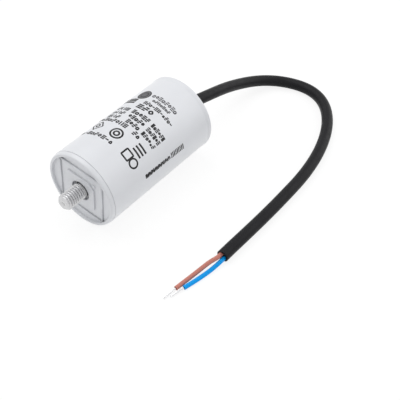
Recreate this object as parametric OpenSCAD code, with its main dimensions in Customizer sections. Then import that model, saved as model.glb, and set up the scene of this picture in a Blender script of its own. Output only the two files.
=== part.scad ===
// Motor run capacitor in a moulded plastic case, lying on its side.
// The case's axis runs along X: the stud points to -X, the cable leaves at +X.
// Z = 0 is the surface it lies on, under the lip at the cable end.

/* [Case] */
// Outer diameter of the case wall
case_od = 40; // [36:0.5:60]
// Length of the case, from the rim at the stud end to the mouth
case_len = 71.5; // [66:0.5:110]
// Thickness of the case wall
case_wall = 1.5; // [1:0.1:2]
// Thickness of the closed end, behind its recessed floor
base_t = 2.8; // [2:0.1:4]
// How far the lip at the mouth stands proud of the wall
lip_h = 0.2; // [0.2:0.05:0.8]
// Length of the lip
lip_len = 2.6; // [2:0.1:4]
// Length of the rounded band at the stud end
bevel_len = 2.3; // [1.5:0.1:3]
// How much smaller the rim's radius is than the wall's
bevel_in = 0.85; // [0.5:0.05:1.2]

/* [Ribbed end] */
// Width of the rim's flat top
rim_w = 1; // [0.8:0.05:1.4]
// Small step where the rounded band meets the wall
bevel_step = 0.12; // [0.05:0.01:0.2]
// Depth of the floor inside the rim
end_recess = 1.2; // [1:0.1:2]
// Draft of the recess's wall, as the change of its radius
recess_draft = 0.3; // [0.1:0.05:0.5]
// Turn of the rib square about the axis, in degrees
rib_turn = 5; // [0:1:45]
// Width of a rib
rib_w = 0.9; // [0.6:0.05:1.2]
// Height of a rib
rib_h = 0.7; // [0.5:0.05:1]
// Side of the raised square pad round the stud
pad_side = 16.4; // [15:0.1:19]
// Height of the pad
pad_h = 0.9; // [0.7:0.05:1.1]
// Radius of the pad's three plain corners
pad_r = 0.8; // [0.3:0.1:1.5]
// Chamfer of the pad's fourth corner
pad_chamfer = 3; // [2:0.1:4]
// Diameter of the moulding pip beside that corner
pip_d = 1.7; // [1:0.1:2]
// Height of the pip
pip_h = 0.5; // [0.2:0.05:0.8]
// Gap between the pip and the chamfer
pip_gap = 0.85; // [0.3:0.05:1]

/* [Stud] */
// Thread diameter of the stud
stud_d = 8; // [6:0.5:8]
// Length of the stud beyond the rim
stud_out = 11; // [8:0.5:20]
// Chamfer at the stud's tip
stud_chamfer = 1.3; // [0.5:0.1:1.6]
// Width of the collar round the stud
collar_w = 0.7; // [0.5:0.05:1]
// How far the collar's face lies under the pad
collar_drop = 1.3; // [0.3:0.1:1.4]
// Width of the gap between the collar and the wall of its well
well_gap = 0.6; // [0.5:0.05:1.2]
// Depth of the well under the pad
well_depth = 1.6; // [1.2:0.1:2]
// Width of the stud's hexagonal head across its flats
head_af = 13; // [12:0.5:14]
// Thickness of the head
head_t = 3; // [2:0.5:5]
// Wall of the boss round the head's corners
boss_wall = 2; // [1.5:0.1:3]

/* [Lid] */
// Thickness of the lid
lid_t = 2.5; // [2:0.1:3]
// Width of the ledge that the lid sits on
ledge_w = 0.6; // [0.4:0.05:0.8]
// Height of the collar round the cable
gland_h = 1.5; // [1:0.5:4]
// Wall of that collar
gland_wall = 2.4; // [1.5:0.1:3]

/* [Winding] */
// Thickness of the resin round the winding
resin_wall = 1.6; // [1:0.1:3]
// Thickness of the tape round the film
wrap_t = 0.4; // [0.2:0.1:0.6]
// Thickness of the sprayed zinc at each end
spray_t = 0.6; // [0.3:0.1:1]
// Bore of the hollow core
core_bore = 5.8; // [5.4:0.1:6.6]
// Wall of the hollow core
core_wall = 1.1; // [0.8:0.1:1.6]

/* [Leads] */
// Diameter of an insulated core
wire_d = 2.1; // [1.8:0.1:2.2]
// Diameter of its stranded conductor
strand_d = 1.1; // [0.8:0.1:1.4]
// Gap between the two cores in the sheath
wire_gap = 0.1; // [0.05:0.05:0.2]
// Radius of a lead's bends inside the case
lead_bend = 2; // [1.6:0.1:2.6]
// Distance of a solder joint from the axis
solder_at = 10.6; // [9.5:0.1:12]
// Diameter of a solder dome
solder_d = 5; // [4:0.1:6]
// Height of a solder dome
solder_h = 1.4; // [1:0.1:1.8]
// Bare length of a lead above its solder dome
strip_gap = 0.3; // [0.2:0.1:1]
// Straight length of the brown lead between the sheath and its first bend
lead_in = 0.7; // [0.3:0.1:2]
// Gap between the blue lead and the stud's boss
boss_gap = 1.2; // [0.8:0.1:2]
// Length of the sheath inside the resin
sheath_in = 4; // [2:0.5:6]

/* [Cable] */
// Diameter of the sheath
sheath_d = 6; // [5:0.1:7]

/* [Fits] */
// Clearance between two pieces that fit together
fit = 0.05; // [0.02:0.01:0.1]

/* [Hidden] */
$fn = 96;
// Sides of the tubes, and steps of an outline's rounded stretches
sheath_sides = 12;
wire_sides = 8;
bevel_steps = 8;
round_steps = 5;
// How far a raised shape reaches into the face it stands on
sink = 0.05;

// Radii of the case
case_r = case_od / 2;
lip_r = case_r + lip_h;
bore_r = case_r - case_wall;
rim_out_r = case_r - bevel_in;
rim_in_r = rim_out_r - rim_w;
floor_r = rim_in_r - recess_draft;
lid_seat_r = bore_r + ledge_w;
axis_z = lip_r;

// Radii of the stud and of what holds it
stud_r = stud_d / 2;
collar_r = stud_r + collar_w;
well_r = collar_r + well_gap;
head_r = head_af / 2 / cos(30);
boss_r = head_r + fit + boss_wall;

// Radii of the winding, the leads and the cable
wrap_r = bore_r - resin_wall;
film_r = wrap_r - wrap_t - fit;
core_bore_r = core_bore / 2;
core_r = core_bore_r + core_wall;
wire_r = wire_d / 2;
strand_r = strand_d / 2;
wire_off = wire_r + wire_gap / 2;
solder_r = solder_d / 2;
sheath_r = sheath_d / 2;
gland_r = sheath_r + fit + gland_wall;

// The rib square's corners touch the rim
rib_square = rim_in_r * sqrt(2);
// Distance of the pip from the axis, past the pad's chamfer
pip_at = (pad_side - pad_chamfer) / sqrt(2) + pip_gap + pip_d / 2;

// Places along X. The stud's tip and the lid's collar end the same distance from X = 0.
total_len = stud_out + case_len + gland_h;
tip_x = -total_len / 2;
rim_x = tip_x + stud_out;
floor_x = rim_x + end_recess;
pad_x = floor_x - pad_h;
well_x = pad_x + well_depth;
collar_x = pad_x + collar_drop;
base_x = floor_x + base_t;
boss_x = base_x + head_t;
mouth_x = rim_x + case_len;
lid_x = mouth_x - lid_t;
gland_x = mouth_x + gland_h;
sheath_x = lid_x - sheath_in;

// The film fills what the leads leave free
insulation_gap = solder_h + strip_gap;
blue_turn_x = boss_x + boss_gap + wire_r;
front_spray_x = blue_turn_x + lead_bend + insulation_gap;
brown_turn_x = sheath_x - lead_in - lead_bend;
rear_spray_x = brown_turn_x - lead_bend - insulation_gap;
film_x = front_spray_x + spray_t;
film_len = rear_spray_x - spray_t - film_x;

// Route of the cable's middle, from the lid's collar down to the surface and along it
cable_route = [
    [gland_x, 0, axis_z], [51, 0, 19.8], [60, -0.3, 18], [69, -0.5, 15.7], [78, -0.6, 13],
    [87, -1.2, 10], [96, -3, 7.2], [104, -6.5, 5], [110.5, -12.5, 3.6], [114.5, -20.5, 3],
    [115.5, -29.8, 3], [113, -38.5, 3], [107.3, -46, 3], [99.8, -51.9, 3], [91.3, -56.5, 3],
    [82.3, -60, 3], [73, -62.6, 3], [63.5, -64.4, 3], [54, -65.5, 3], [44, -66, 3],
    [33, -66.3, 3], [22, -66.4, 3], [11, -66.3, 3], [0, -66.1, 3], [-6, -66, 3],
    [-9.5, -66, 3]];
// Routes of the two cores beyond the sheath, each down to the surface
brown_route = [[-9.5, -65.1, 3.7], [-11, -65.1, 3.7], [-15, -64, 3.3], [-20, -62.8, 2.4],
               [-27, -61.4, 1.3], [-31, -60.8, 1.05], [-35.5, -60.3, 1.05]];
blue_route = [[-9.5, -66.8, 2.1], [-11, -66.8, 2.1], [-15, -66.4, 1.6], [-19, -65.8, 1.15],
              [-23.5, -65, 1.05], [-28, -64.1, 1.05], [-33, -62.9, 1.05]];
// Routes of the bare strands at their ends
brown_tip = [[-35.5, -60.3, 1.05], [-37.3, -60.1, 1.05], [-40, -59.8, 0.85], [-42.7, -59.5, 0.6]];
blue_tip = [[-33, -62.9, 1.05], [-35.5, -62.3, 1.05], [-38, -61.7, 0.85], [-40, -61.3, 0.6]];

// --- Helpers ---

// Stands the children on the case's axis: their Z runs along X, their -X is up.
module on_axis(x) {
    translate([x, 0, axis_z])
        rotate([0, 90, 0])
            children();
}

// Points of an elliptical arc about c, from angle a to angle b.
function arc(c, rx, ry, a, b, n) =
    [for (i = [0:n]) let (t = a + (b - a) * i / n) c + [rx * cos(t), ry * sin(t)]];

// A round bar along X.
module bar(x, len, r) {
    on_axis(x) cylinder(h = len, r = r);
}

// A round sleeve along X.
module sleeve(x, len, r, bore) {
    on_axis(x) difference() {
        cylinder(h = len, r = r);
        translate([0, 0, -1]) cylinder(h = len + 2, r = bore);
    }
}

// Tube swept along points: one ring square to the path at each point.
function unit(v) = v / norm(v);
function along(p, i) =
    unit(p[min(i + 1, len(p) - 1)] - p[max(i - 1, 0)]);
function ring(p, i, r, sides) =
    let (t = along(p, i),
         side = unit(cross([0, 0, 1], t)),
         top = cross(t, side))
    [for (k = [0:sides - 1]) let (a = 360 * (k + 0.5) / sides)
        p[i] + r * (cos(a) * side + sin(a) * top)];
module tube(p, r, sides) {
    n = len(p);
    points = [for (i = [0:n - 1]) each ring(p, i, r, sides)];
    walls = [for (i = [0:n - 2]) for (k = [0:sides - 1])
        let (a = i * sides + k, b = i * sides + (k + 1) % sides)
        [a, a + sides, b + sides, b]];
    start = [for (k = [0:sides - 1]) k];
    end = [for (k = [0:sides - 1]) n * sides - 1 - k];
    polyhedron(points, concat([start], walls, [end]), convexity = 4);
}

// --- Case and lid ---

// Half section of the moulded cup: radius across, X along.
module case_section() {
    lip_x = mouth_x - lip_len;
    polygon(concat(
        [[0, floor_x], [floor_r, floor_x], [rim_in_r, rim_x]],
        arc([rim_out_r, rim_x + bevel_len], bevel_in - bevel_step, bevel_len, -90, 0, bevel_steps),
        [[case_r, rim_x + bevel_len], [case_r, lip_x], [lip_r, lip_x + lip_h]],
        arc([lip_r - lip_h, mouth_x - lip_h], lip_h, lip_h, 0, 90, round_steps),
        [[lid_seat_r, mouth_x], [lid_seat_r, lid_x], [bore_r, lid_x], [bore_r, base_x],
         [0, base_x]]));
}

// Square of thin ribs whose corners run into the rim.
module rib_frame() {
    inner = rib_square - rib_w;
    intersection() {
        linear_extrude(rib_h + sink) difference() {
            square(rib_square + rib_w, center = true);
            square(inner, center = true);
        }
        cylinder(h = rib_h + sink, r = rim_in_r);
    }
}

// Outline of the pad: three rounded corners and one cut off at 45 degrees.
module pad_outline() {
    half = pad_side / 2;
    round_at = half - pad_r;
    polygon(concat(
        arc([round_at, round_at], pad_r, pad_r, 0, 90, round_steps),
        arc([-round_at, round_at], pad_r, pad_r, 90, 180, round_steps),
        [[-half, pad_chamfer - half], [pad_chamfer - half, -half]],
        arc([round_at, -round_at], pad_r, pad_r, 270, 360, round_steps)));
}

module case() {
    color("whitesmoke") difference() {
        union() {
            on_axis(0) rotate_extrude() case_section();
            on_axis(floor_x - rib_h) rotate(rib_turn) rib_frame();
            on_axis(pad_x) rotate(rib_turn) linear_extrude(pad_h + sink) pad_outline();
            on_axis(floor_x - pip_h) rotate(rib_turn + 225)
                translate([pip_at, 0, 0]) cylinder(h = pip_h + sink, d = pip_d);
            bar(base_x - sink, head_t + sink, boss_r);
        }
        bar(pad_x - 1, well_depth + 1, well_r);
        bar(pad_x, base_x - pad_x + 1, collar_r + fit);
        on_axis(base_x) cylinder(h = head_t + 1, r = head_r + fit, $fn = 6);
    }
}

module lid() {
    color("gainsboro") on_axis(0) rotate_extrude() {
        hole = sheath_r + fit;
        rim = lid_seat_r - fit;
        polygon([[hole, lid_x], [rim, lid_x], [rim, mouth_x - lip_h], [rim - lip_h, mouth_x],
                 [gland_r, mouth_x], [gland_r - lip_h, gland_x], [hole, gland_x]]);
    }
}

// --- Stud ---

module mounting_stud() {
    color("silver") {
        on_axis(0) rotate_extrude() polygon([
            [0, tip_x], [stud_r - stud_chamfer, tip_x], [stud_r, tip_x + stud_chamfer],
            [stud_r, collar_x], [collar_r, collar_x], [collar_r, base_x], [0, base_x]]);
        on_axis(base_x) cylinder(h = head_t, r = head_r, $fn = 6);
    }
}

// --- Winding ---

module film_winding() {
    color("lightgray") sleeve(film_x, film_len, film_r, core_r + fit);
}

module winding_core() {
    color("ivory") sleeve(front_spray_x, rear_spray_x - front_spray_x, core_r, core_bore_r);
}

module winding_wrap() {
    color("khaki") sleeve(film_x, film_len, wrap_r, film_r + fit);
}

module end_spray(x) {
    color("slategray") sleeve(x, spray_t, film_r, core_r + fit);
}

module front_end_spray() {
    end_spray(front_spray_x);
}

module rear_end_spray() {
    end_spray(rear_spray_x - spray_t);
}

// --- Leads inside the case ---

// Turns the children so that their X points away from the axis and their Y along it.
module lead_plane() {
    translate([0, 0, axis_z])
        rotate([-90, -90, 0])
            children();
}

module lead_bar(off, from, to, r) {
    translate([off, from, 0]) rotate([-90, 0, 0]) cylinder(h = to - from, r = r);
}

module lead_arc(at, start, r) {
    translate(at) rotate_extrude(angle = 90, start = start)
        translate([lead_bend, 0]) circle(r);
}

// A lead from x to its turn, out to the solder joint, and back down towards the roll.
// The turn lies on the side that side gives: 1 is towards +X.
module lead_path(x, turn_x, side, r) {
    near = wire_off + lead_bend;
    far = solder_at - lead_bend;
    lead_bar(wire_off, turn_x + lead_bend, x, r);
    lead_arc([near, turn_x + lead_bend, 0], 180, r);
    translate([near, turn_x, 0]) rotate([0, 90, 0]) cylinder(h = far - near, r = r);
    lead_arc([far, turn_x - side * lead_bend, 0], side > 0 ? 0 : 270, r);
}

module brown_lead(r = wire_r) {
    color("sienna") lead_plane() lead_path(sheath_x, brown_turn_x, 1, r);
}

module blue_lead(r = wire_r) {
    color("dodgerblue") lead_plane() mirror([1, 0, 0])
        lead_path(sheath_x, blue_turn_x, -1, r);
}

module brown_lead_end(r = strand_r) {
    color("silver") lead_plane()
        lead_bar(solder_at, rear_spray_x, rear_spray_x + insulation_gap, r);
}

module blue_lead_end(r = strand_r) {
    color("silver") lead_plane()
        lead_bar(-solder_at, front_spray_x - insulation_gap, front_spray_x, r);
}

// Dome of solder that stands on a sprayed end, with the strands through it.
module solder_dome() {
    dome_r = (solder_r * solder_r + solder_h * solder_h) / (2 * solder_h);
    intersection() {
        translate([0, 0, solder_h - dome_r]) sphere(dome_r);
        cylinder(h = dome_r, r = solder_r);
    }
}

module rear_solder() {
    color("darkgray") difference() {
        translate([rear_spray_x, 0, axis_z + solder_at]) rotate([0, 90, 0]) solder_dome();
        brown_lead_end(strand_r + fit);
    }
}

module front_solder() {
    color("darkgray") difference() {
        translate([front_spray_x, 0, axis_z - solder_at]) rotate([0, -90, 0]) solder_dome();
        blue_lead_end(strand_r + fit);
    }
}

// --- Resin ---

module potting_resin() {
    color("burlywood") difference() {
        bar(base_x, lid_x - base_x, bore_r - fit);
        bar(base_x - 1, head_t + 1, boss_r + fit);
        sleeve(front_spray_x, rear_spray_x - front_spray_x, wrap_r + fit, core_bore_r - fit);
        bar(sheath_x, sheath_in + 1, sheath_r + fit);
        brown_lead(wire_r + fit);
        blue_lead(wire_r + fit);
        brown_lead_end(strand_r + fit);
        blue_lead_end(strand_r + fit);
        translate([rear_spray_x, 0, axis_z + solder_at]) rotate([0, 90, 0]) solder_dome();
        translate([front_spray_x, 0, axis_z - solder_at]) rotate([0, -90, 0]) solder_dome();
    }
}

// --- Cable ---

module cable_sheath() {
    color("dimgray") tube(concat([[sheath_x, 0, axis_z]], cable_route), sheath_r, sheath_sides);
}

module brown_core() {
    color("sienna") tube(brown_route, wire_r, wire_sides);
}

module blue_core() {
    color("dodgerblue") tube(blue_route, wire_r, wire_sides);
}

module brown_strands() {
    color("silver") tube(brown_tip, strand_r, wire_sides);
}

module blue_strands() {
    color("silver") tube(blue_tip, strand_r, wire_sides);
}

case();
mounting_stud();
lid();
film_winding();
winding_core();
winding_wrap();
front_end_spray();
rear_end_spray();
front_solder();
rear_solder();
blue_lead();
brown_lead();
blue_lead_end();
brown_lead_end();
potting_resin();
cable_sheath();
brown_core();
blue_core();
brown_strands();
blue_strands();
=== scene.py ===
"""Dresses a motor run capacitor: moulded case, ribbed end, threaded stud, print, cable and bare cores.

The case's axis runs along X at the height AXIS_Z, with the stud towards -X and the cable towards +X.
Places round that axis are given as (along, out, turn): along X, out from the axis, and the turn from
straight down towards +Y. Every surface is closed, and its faces point outwards.
"""

import math

import bmesh
import bpy
import numpy as np
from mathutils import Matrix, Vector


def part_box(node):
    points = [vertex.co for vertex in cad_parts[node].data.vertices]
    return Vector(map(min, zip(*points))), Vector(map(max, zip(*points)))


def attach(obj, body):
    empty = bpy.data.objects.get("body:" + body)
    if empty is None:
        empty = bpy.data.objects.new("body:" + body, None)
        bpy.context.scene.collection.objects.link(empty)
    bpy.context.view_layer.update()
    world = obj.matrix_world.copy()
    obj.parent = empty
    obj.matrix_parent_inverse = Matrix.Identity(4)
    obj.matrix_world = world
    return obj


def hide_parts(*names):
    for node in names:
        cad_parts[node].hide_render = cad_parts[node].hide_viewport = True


bl_info = {
    "name": "Motor run capacitor",
    "version": (1, 0, 0),
    "blender": (4, 5, 0),
    "location": "View3D > Sidebar > Capacitor",
    "description": "Builds the surfaces, finishes and cable of a motor run capacitor on its packed frame",
    "category": "Add Mesh",
}

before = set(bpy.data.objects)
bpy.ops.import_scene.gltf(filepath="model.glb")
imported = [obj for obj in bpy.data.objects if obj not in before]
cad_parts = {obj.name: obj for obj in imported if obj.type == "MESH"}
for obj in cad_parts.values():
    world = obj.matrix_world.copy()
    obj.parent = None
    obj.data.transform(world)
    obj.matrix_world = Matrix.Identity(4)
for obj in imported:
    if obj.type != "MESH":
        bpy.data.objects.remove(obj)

BODY = "root"
MM = 0.001
# Two points closer than this are one point
SAME_POINT = 1e-7


def node_box(node):
    """Lowest and highest corner of a packed node, rounded to a hundredth of a millimetre."""
    low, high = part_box(node)
    return np.round(np.array(low), 5), np.round(np.array(high), 5)


CASE_LOW, CASE_HIGH = node_box("case")
STUD_LOW, STUD_HIGH = node_box("mounting_stud")
LID_LOW, LID_HIGH = node_box("lid")
AXIS_Z = (CASE_LOW[2] + CASE_HIGH[2]) / 2
LIP_RADIUS = (CASE_HIGH[2] - CASE_LOW[2]) / 2
RIM_X, MOUTH_X = CASE_LOW[0], CASE_HIGH[0]
TIP_X, HEAD_X = STUD_LOW[0], STUD_HIGH[0]
LID_X, GLAND_X = LID_LOW[0], LID_HIGH[0]

# Points that the cable's middle passes, in metres
CABLE_ROUTE = MM * np.array([
    [42, 0, 20.2], [51, 0, 19.8], [60, -0.3, 18], [69, -0.5, 15.7], [78, -0.6, 13],
    [87, -1.2, 10], [96, -3, 7.2], [104, -6.5, 5], [110.5, -12.5, 3.6], [114.5, -20.5, 3],
    [115.5, -29.8, 3], [113, -38.5, 3], [107.3, -46, 3], [99.8, -51.9, 3], [91.3, -56.5, 3],
    [82.3, -60, 3], [73, -62.6, 3], [63.5, -64.4, 3], [54, -65.5, 3], [44, -66, 3],
    [33, -66.3, 3], [22, -66.4, 3], [11, -66.3, 3], [0, -66.1, 3], [-6, -66, 3],
    [-9.5, -66, 3]])
# Points that the middles of the two cores pass beyond the sheath
BROWN_ROUTE = MM * np.array([
    [-9.5, -65.1, 3.7], [-11, -65.1, 3.7], [-15, -64, 3.3], [-20, -62.8, 2.4],
    [-27, -61.4, 1.3], [-31, -60.8, 1.05], [-35.5, -60.3, 1.05]])
BLUE_ROUTE = MM * np.array([
    [-9.5, -66.8, 2.1], [-11, -66.8, 2.1], [-15, -66.4, 1.6], [-19, -65.8, 1.15],
    [-23.5, -65, 1.05], [-28, -64.1, 1.05], [-33, -62.9, 1.05]])
# Points that the middles of the bare strands pass
BROWN_TIP = MM * np.array([
    [-35.5, -60.3, 1.05], [-37.3, -60.1, 1.05], [-40, -59.8, 0.85], [-42.7, -59.5, 0.6]])
BLUE_TIP = MM * np.array([
    [-33, -62.9, 1.05], [-35.5, -62.3, 1.05], [-38, -61.7, 0.85], [-40, -61.3, 0.6]])


# --- Sizes and colours that a user would change ---


def number(name, description, value, **limits):
    """A number property."""
    return bpy.props.FloatProperty(name=name, description=description, default=value, **limits)


def length(name, description, millimetres):
    """A length property, with its default given in millimetres."""
    return number(name, description, millimetres * MM, min=0, unit="LENGTH", precision=5)


def angle(name, description, degrees):
    """An angle property, with its default given in degrees."""
    return number(name, description, math.radians(degrees), unit="ROTATION")


def factor(name, description, value):
    """A property from 0 to 1."""
    return number(name, description, value, min=0, max=1, subtype="FACTOR")


def triple(name, description, value, **limits):
    """A property of three numbers."""
    return bpy.props.FloatVectorProperty(
        name=name, description=description, default=value, size=3, **limits)


def colour(name, description, value):
    """A colour property, with its default in linear light."""
    return triple(name, description, value, subtype="COLOR", min=0, max=1)


def position(name, description, value):
    """A position property, with its default in metres."""
    return triple(name, description, value, subtype="TRANSLATION", unit="LENGTH")


class CapacitorCase(bpy.types.PropertyGroup):
    """Sizes and finish of the moulded case."""

    lip_height: length("Lip height", "How far the lip at the mouth stands proud of the wall", 0.2)
    lip_length: length("Lip length", "Length of the lip at the mouth", 2.6)
    lip_ramp: length("Lip ramp", "Length over which the wall rises to the lip", 1.4)
    lip_ease: length("Lip ease", "Radius with which the ramp meets the wall and the lip", 6.0)
    wall: length("Wall", "Thickness of the case wall", 1.5)
    ledge: length("Ledge", "Width of the ledge that the lid sits on", 0.6)
    band_length: length("Band length", "Length of the rounded band at the ribbed end", 2.3)
    band_drop: length("Band drop", "How much smaller the rim's radius is than the wall's", 0.85)
    band_step: length("Band step", "Small step where the band meets the wall", 0.12)
    crease: length("Crease", "Width and depth of the crease between the band and the wall", 0.3)
    rim_width: length("Rim width", "Width of the rim's flat top", 1.0)
    recess: length("Recess", "Depth of the floor inside the rim", 1.2)
    draft: length("Draft", "Change of the recess's radius over its depth", 0.3)
    base: length("Base", "Thickness of the closed end behind its floor", 2.8)
    rib_turn: angle("Rib turn", "Turn of the square of ribs about the axis", 5)
    rib_width: length("Rib width", "Width of a rib at its foot", 0.9)
    rib_height: length("Rib height", "Height of a rib", 0.7)
    pad_side: length("Pad side", "Side of the raised square pad", 16.4)
    pad_height: length("Pad height", "Height of the pad", 0.9)
    pad_corner: length("Pad corner", "Radius of the pad's plain corners", 0.8)
    pad_chamfer: length("Pad chamfer", "Chamfer of the pad's fourth corner", 3.0)
    pip_width: length("Pip width", "Diameter of the moulding pip", 1.7)
    pip_height: length("Pip height", "Height of the moulding pip", 0.5)
    pip_gap: length("Pip gap", "Gap between the pip and the pad's chamfer", 0.85)
    well_radius: length("Well radius", "Radius of the well round the stud", 5.3)
    well_depth: length("Well depth", "Depth of the well under the pad", 1.6)
    hole_radius: length("Hole radius", "Radius of the hole round the stud's collar", 4.75)
    head_radius: length("Head pocket radius", "Radius of the pocket round the stud's head", 7.56)
    boss_radius: length("Boss radius", "Radius of the boss round the stud's head", 9.56)
    edge: length("Edge radius", "Radius of the moulded edges", 0.16)
    tint: colour("Colour", "Colour of the moulded plastic", (0.785, 0.80, 0.835))
    # Shade painted into the plastic's colour in its creases: how dark it is, and how close walls stand that
    # make it
    painted_crease_shade: factor("Crease shade", "How much darker the plastic is in its creases", 0.45)
    painted_shade_reach: length("Crease reach", "How close walls stand that make a crease", 0.8)


class CapacitorStud(bpy.types.PropertyGroup):
    """Sizes and finish of the stud."""

    thread_radius: length("Thread radius", "Outer radius of the thread", 4.0)
    pitch: length("Pitch", "Distance from one turn of the thread to the next", 1.25)
    thread_depth: length("Thread depth", "Depth of the thread", 0.767)
    tip_chamfer: length("Tip chamfer", "Chamfer at the stud's tip", 1.3)
    plain_length: length("Plain length", "Unthreaded length next to the collar", 1.3)
    collar_radius: length("Collar radius", "Radius of the collar", 4.7)
    collar_drop: length("Collar drop", "Distance from the rim to the collar's face", 1.6)
    head_flats: length("Head flats", "Width of the head across its flats", 13.0)
    head_height: length("Head height", "Thickness of the head", 3.0)
    head_chamfer: length("Head chamfer", "Length of the chamfer at both ends of the head", 0.15)
    tint: colour("Colour", "Colour of the plated steel", (0.68, 0.68, 0.69))
    # Shade painted into the steel's colour down in the well round the stud
    painted_well_shade: factor("Foot shade", "How much darker the steel is down in the well", 0.45)


class CapacitorPrint(bpy.types.PropertyGroup):
    """Sizes and colours of the printed marks."""

    thickness: length("Thickness", "How far the ink stands on the wall", 0.02)
    tint: colour("Colour", "Colour of the ink", (0.008, 0.008, 0.009))
    faint: colour("Faint colour", "Colour of the thin grey ink", (0.12, 0.12, 0.13))


class CapacitorLid(bpy.types.PropertyGroup):
    """Sizes and finish of the lid."""

    fit: length("Fit", "Gap between the lid and what it fits", 0.05)
    edge: length("Edge", "Chamfer of the lid's rim and of its collar", 0.2)
    collar_wall: length("Collar wall", "Wall of the collar round the cable", 2.4)
    tint: colour("Colour", "Colour of the lid's plastic", (0.755, 0.77, 0.805))


class CapacitorCable(bpy.types.PropertyGroup):
    """Sizes and colours of the cable."""

    sheath: length("Sheath", "Diameter of the sheath", 6.0)
    core: length("Core", "Diameter of an insulated core", 2.1)
    core_bore: length("Core bore", "Bore of a core's insulation", 1.3)
    strand: length("Strand", "Diameter of one strand of the conductor", 0.21)
    lay: length("Lay", "Length in which a strand goes once round", 15)
    mouth_depth: length("Mouth depth", "Depth of the hollow in the sheath's cut end", 0.8)
    sheath_tint: colour("Sheath colour", "Colour of the sheath", (0.0085, 0.0085, 0.0098))
    brown: colour("Brown", "Colour of the brown core", (0.66, 0.253, 0.2))
    blue: colour("Blue", "Colour of the blue core", (0.001, 0.39, 1.0))
    tin: colour("Tin", "Colour of the tinned strands", (0.86, 0.86, 0.87))


class CapacitorStage(bpy.types.PropertyGroup):
    """Camera, floor and lamps."""

    camera_place: position("Camera place", "Where the camera stands", (-0.20201, -0.20775, 0.28666))
    camera_down: angle("Camera down", "How far below level the camera looks", 45.97)
    camera_turn: angle("Camera turn", "How far the camera turns from +Y towards +X", 51.22)
    lens: number("Lens", "Focal length in millimetres on a 36 mm sensor", 73.8, min=1)
    floor_side: number("Floor side", "Side of the square floor", 6, min=1, unit="LENGTH")
    floor_tint: colour("Floor colour", "Colour of the floor", (0.96, 0.96, 0.96))
    floor_white: factor("Floor white", "Share of the floor's look that is plain white", 0.8)
    floor_glow: number("Floor glow", "Strength of that white", 1.06, min=0)
    sky: number("Sky", "Strength of the light from all round", 0.55, min=0)
    key: number("Key lamp", "Power of the lamp overhead, in watts", 3.84, min=0)
    key_place: position("Key place", "Where the lamp overhead hangs", (0, 0.40, 0.88))
    fill: number("Fill lamp", "Power of the lamp beyond the cable, in watts", 2.41, min=0)
    fill_place: position("Fill place", "Where the lamp beyond the cable hangs", (0.71, -0.41, 0.50))
    lamp_side: number("Lamp side", "Side of each square lamp", 0.9, min=0.01, unit="LENGTH")


# --- Surfaces ---


def whole_turn(count):
    """Even steps of angle once round."""
    return np.linspace(0, 2 * np.pi, count, endpoint=False)


def unit(arrows):
    """Arrows of length 1."""
    return arrows / np.linalg.norm(arrows, axis=1, keepdims=True)


def run_along(path):
    """Distance of each point of a path from its start."""
    return np.concatenate([[0], np.cumsum(np.linalg.norm(np.diff(path, axis=0), axis=1))])


def rounded(corners, steps=5, closed=True):
    """A line whose corners are arcs. Each corner is given by its two places and its radius.

    Where two sides meet at the angle a, an arc of radius r touches each of them r / tan(a / 2) away
    from the corner, about a centre r / sin(a / 2) along the angle's bisector. Its points are the
    spherical mean of the two touching points, seen from that centre.
    """
    corners = np.array(corners, float)
    if closed:
        corners = np.vstack([corners[-1:], corners, corners[:1]])
    places = corners[:, :2]
    corner, radius = places[1:-1], corners[1:-1, 2:]
    back, on = unit(places[:-2] - corner), unit(places[2:] - corner)
    half = np.arccos(np.clip((back * on).sum(1, keepdims=True), -0.9999, 0.9999)) / 2
    centre = corner + unit(back + on) * (radius / np.sin(half))
    reach = radius / np.tan(half)
    start, end = corner + reach * back - centre, corner + reach * on - centre
    turn = (np.pi - 2 * half)[:, None]
    share = np.linspace(0, 1, steps + 1)[None, :, None]
    arcs = np.sin((1 - share) * turn) * start[:, None] + np.sin(share * turn) * end[:, None]
    points = (centre[:, None] + arcs / np.sin(turn)).reshape(-1, 2)
    if not closed:
        points = np.vstack([places[:1], points, places[-1:]])
    new = np.linalg.norm(np.diff(points, axis=0, prepend=points[:1] - 1), axis=1) > SAME_POINT
    return points[new]


def braced(points, margin, closed=False):
    """The same line with a point a margin away from both ends of each long side, which keeps the
    shading of its corners out of it."""
    line = np.vstack([points, points[:1]]) if closed else np.asarray(points)
    side = np.linalg.norm(np.diff(line, axis=0), axis=1)
    start = np.arange(len(side))[side > 3 * margin]
    share = margin / side[start]
    whole = np.arange(len(line))
    places = np.sort(np.concatenate([whole, start + share, start + 1 - share]))
    out = np.stack([np.interp(places, whole, column) for column in line.T], axis=1)
    return out[:-1] if closed else out


def section_of(corners, margin=0.1 * MM, closed=True):
    """A rounded and braced section."""
    return braced(rounded(corners, closed=closed), margin, closed)


def around(along, out, turn):
    """Points round the case's axis: x = along, y = out sin(turn), z = AXIS_Z - out cos(turn)."""
    along, out, turn = np.broadcast_arrays(along, out, turn)
    return np.stack([along, out * np.sin(turn), AXIS_Z - out * np.cos(turn)], axis=-1)


def beside(along, out, aside, turn):
    """Points that lie out from the axis in the direction turn, and then aside, square to it."""
    return around(along, np.hypot(out, aside), turn + np.arctan2(aside, out))


def revolved(section, columns=192):
    """A section of (along, out) points turned once round the case's axis."""
    return around(section[:, :1], section[:, 1:], whole_turn(columns))


def grid(points, wrap_rows=False):
    """A shell from a (rows, columns, 3) array: each point is joined to the next one of its row and to
    the same one of the next row. A row is a ring, so its last point is joined to its first."""
    rows, columns = points.shape[:2]
    i = np.arange(rows if wrap_rows else rows - 1)[:, None]
    j = np.arange(columns)
    here, beyond, j_on = i * columns, (i + 1) % rows * columns, (j + 1) % columns
    quads = np.stack([here + j, here + j_on, beyond + j_on, beyond + j], axis=-1)
    return points.reshape(-1, 3), quads.reshape(-1, 4)


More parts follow.
